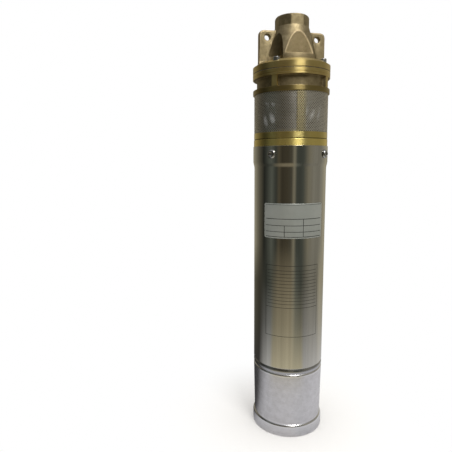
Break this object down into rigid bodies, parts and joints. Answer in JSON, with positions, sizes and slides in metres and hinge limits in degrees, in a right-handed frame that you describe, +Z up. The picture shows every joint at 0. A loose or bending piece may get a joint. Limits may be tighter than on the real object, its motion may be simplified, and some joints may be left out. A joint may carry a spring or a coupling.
{
  "type": "borehole submersible pump",
  "caption": "Slim upright borehole pump: brass delivery head with rope ears and threaded outlet, brass pump casing, perforated strainer, stainless motor shell and satin bottom cap.",
  "frame": {"origin": "centre of the bottom cap's flat underside", "axes": "+Z up the shaft towards the outlet, X through the two rope ears, -Y is the front with the rating plate"},
  "size_m": [0.1006, 0.1006, 0.5574],
  "materials": {
    "cast_brass": "as-cast, dull, brown-gold",
    "turned_brass": "turned, bright",
    "polished_stainless": "polished along the tube",
    "strainer_stainless": "perforated sheet, dull",
    "satin_cap": "satin, with polished beads",
    "chrome_screws": "bright",
    "plate_foil": "matt silver",
    "black_rubber": "matt",
    "gasket_fibre": "matt",
    "bearing_steel": "ground and polished",
    "shaft_steel": "ground",
    "lamination_steel": "stacked sheet, dark",
    "cast_aluminium": "as cast",
    "copper_wire": "varnished copper wire",
    "slot_paper": "insulating film",
    "lead_insulation": "matt",
    "cutout_case": "matt",
    "seat_ceramic": "lapped",
    "seal_carbon": "lapped carbon",
    "spring_wire": "drawn wire"
  },
  "bodies": {
    "pump_body": {"bottom_cap": "satin_cap", "oil_plug": "turned_brass", "cap_o_ring": "black_rubber", "lower_bracket": "cast_aluminium", "wave_washer": "spring_wire", "lower_bearing_outer": "bearing_steel", "motor_shell": "polished_stainless", "rating_plate": "plate_foil", "shell_screws": "chrome_screws", "stator_core": "lamination_steel", "slot_liners": "slot_paper", "stator_winding": "copper_wire", "thermal_cutout": "cutout_case", "motor_leads": "lead_insulation", "motor_bracket": "turned_brass", "bracket_o_ring": "black_rubber", "upper_bearing_outer": "bearing_steel", "oil_seal": "black_rubber", "seal_plate": "turned_brass", "plate_o_ring": "black_rubber", "seal_seat": "seat_ceramic", "strainer": "strainer_stainless", "cable_conduit": "polished_stainless", "pump_casing": "cast_brass", "neck_screws": "chrome_screws", "head_gasket": "gasket_fibre", "delivery_head": "cast_brass", "head_screws": "chrome_screws", "valve_spring": "spring_wire", "valve_cage": "turned_brass", "gland_body": "turned_brass", "gland_nut": "turned_brass", "gland_grommet": "black_rubber"},
    "rotor": {"motor_shaft": "shaft_steel", "rotor_core": "lamination_steel", "rotor_cage": "cast_aluminium", "lower_bearing_inner": "bearing_steel", "upper_bearing_inner": "bearing_steel", "seal_face": "seal_carbon", "seal_spring": "spring_wire", "seal_collar": "shaft_steel", "impeller": "turned_brass", "impeller_key": "shaft_steel", "impeller_clip": "spring_wire"},
    "check_valve": {"valve_poppet": "turned_brass", "poppet_seal": "black_rubber"},
    "upper_ball_set": {"upper_bearing_balls": "bearing_steel"},
    "lower_ball_set": {"lower_bearing_balls": "bearing_steel"}
  },
  "joints": [
    {"name": "rotor_spin", "type": "hinge", "parent": "pump_body", "child": "rotor", "pos_m": [0, 0, 0.25], "axis": [0, 0, 1], "continuous": true},
    {"name": "upper_ball_spin", "type": "hinge", "parent": "pump_body", "child": "upper_ball_set", "pos_m": [0, 0, 0.368], "axis": [0, 0, 1], "continuous": true},
    {"name": "lower_ball_spin", "type": "hinge", "parent": "pump_body", "child": "lower_ball_set", "pos_m": [0, 0, 0.127], "axis": [0, 0, 1], "continuous": true},
    {"name": "valve_lift", "type": "slide", "parent": "pump_body", "child": "check_valve", "axis": [0, 0, 1], "range_m": [0, 0.008], "stiffness_N_per_m": 150, "springref_m": -0.008, "deforming": ["valve_spring"]}
  ],
  "couplings": [
    {"joint": "upper_ball_spin", "follows": "rotor_spin", "ratio": 0.381},
    {"joint": "lower_ball_spin", "follows": "rotor_spin", "ratio": 0.381}
  ]
}
